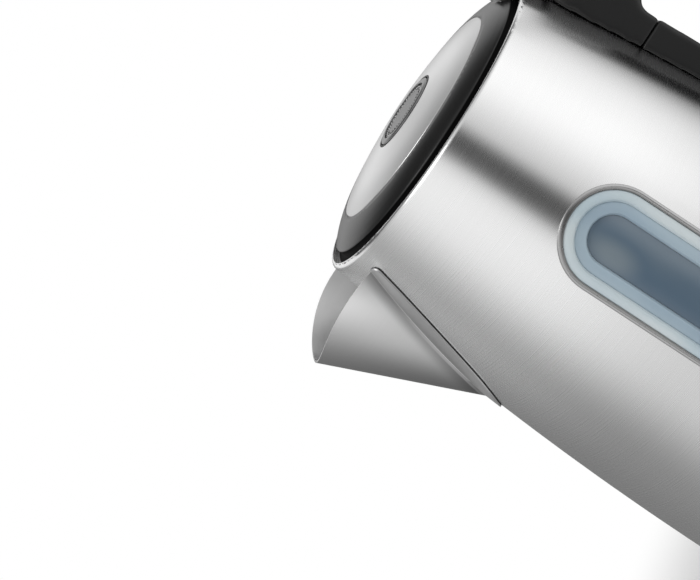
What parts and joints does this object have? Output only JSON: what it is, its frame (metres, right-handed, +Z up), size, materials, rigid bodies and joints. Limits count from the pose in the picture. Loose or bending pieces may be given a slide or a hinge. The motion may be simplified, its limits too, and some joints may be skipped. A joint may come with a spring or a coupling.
{
  "type": "electric kettle",
  "caption": "Tapered brushed steel electric kettle with a conical spout, a hinged push-button lid, a level window and a closed loop handle.",
  "frame": {"origin": "centre of the underside, in the plane that the kettle rests on, on the jug's axis", "axes": "+Z up along the jug's axis; -X towards the pouring spout; +X towards the handle; -Y towards the level window"},
  "size_m": [0.2226, 0.1524, 0.2177],
  "materials": {
    "steel_shell": "circumferentially brushed",
    "steel_lid": "fine brushed",
    "steel_inner": "satin",
    "steel_trim": "satin",
    "black_gloss": "semi-gloss black",
    "black_matte": "fine matt black",
    "button_grey": "satin grey",
    "silicone": "translucent grey silicone",
    "frosted": "frosted light blue",
    "mid_blue": "mid blue clear plastic",
    "deep_blue": "deep slate blue clear plastic",
    "fastener": "plated",
    "heat_aluminium": "cast",
    "contact_brass": "plain",
    "spring_steel": "spring wire",
    "control_plastic": "natural"
  },
  "bodies": {
    "jug": {"body_shell": "steel_shell", "spout": "steel_shell", "filter_frame": "black_matte", "filter_mesh": "steel_inner", "rim_collar": "steel_inner", "window_bezel": "steel_trim", "window_lens": "frosted", "window_step": "mid_blue", "window_pane": "deep_blue", "window_seal": "silicone", "window_retainer": "steel_inner", "heating_plate": "steel_inner", "plate_seal": "silicone", "diffuser_plate": "heat_aluminium", "element_tube": "heat_aluminium", "element_tabs": "contact_brass", "base_ring": "black_matte", "base_cover": "black_matte", "base_screws": "fastener", "control_body": "control_plastic", "control_screws": "fastener", "connector_socket": "control_plastic", "contact_rings": "contact_brass", "bimetal_discs": "contact_brass", "handle_shell": "black_gloss", "handle_spine": "black_gloss", "handle_cover": "black_matte", "handle_screws": "fastener", "bracket_upper": "fastener", "bracket_lower": "fastener", "bracket_screws": "fastener", "steam_tube": "silicone", "steam_switch_unit": "control_plastic", "steam_disc": "contact_brass", "switch_pin": "fastener", "hinge_block": "black_gloss", "hinge_pin": "fastener"},
    "lid": {"lid_ring": "black_gloss", "lid_plate": "steel_lid", "lid_pan": "black_matte", "lid_seal": "silicone", "lid_screws": "fastener", "button_guide": "black_matte"},
    "lid_button": {"button_cap": "button_grey", "button_stem": "black_matte", "button_spring": "spring_steel"},
    "latch": {"latch_bolt": "black_matte"},
    "switch": {"switch_lever": "black_gloss"}
  },
  "joints": [
    {"name": "lid_hinge", "type": "hinge", "parent": "jug", "child": "lid", "pos_m": [0.067, 0, 0.212], "axis": [0, 1, 0], "range_deg": [0, 80]},
    {"name": "button_press", "type": "slide", "parent": "lid", "child": "lid_button", "axis": [0, 0, -1], "range_m": [0, 0.0025], "stiffness_N_per_m": 400, "springref_m": -0.002, "deforming": ["button_spring"]},
    {"name": "latch_slide", "type": "slide", "parent": "lid", "child": "latch", "axis": [1, 0, 0], "range_m": [0, 0.002]},
    {"name": "switch_rock", "type": "hinge", "parent": "jug", "child": "switch", "pos_m": [0.107, 0, 0.054], "axis": [0, 1, 0], "range_deg": [0, 12]}
  ],
  "couplings": [
    {"joint": "latch_slide", "follows": "button_press", "ratio": 0.8}
  ]
}
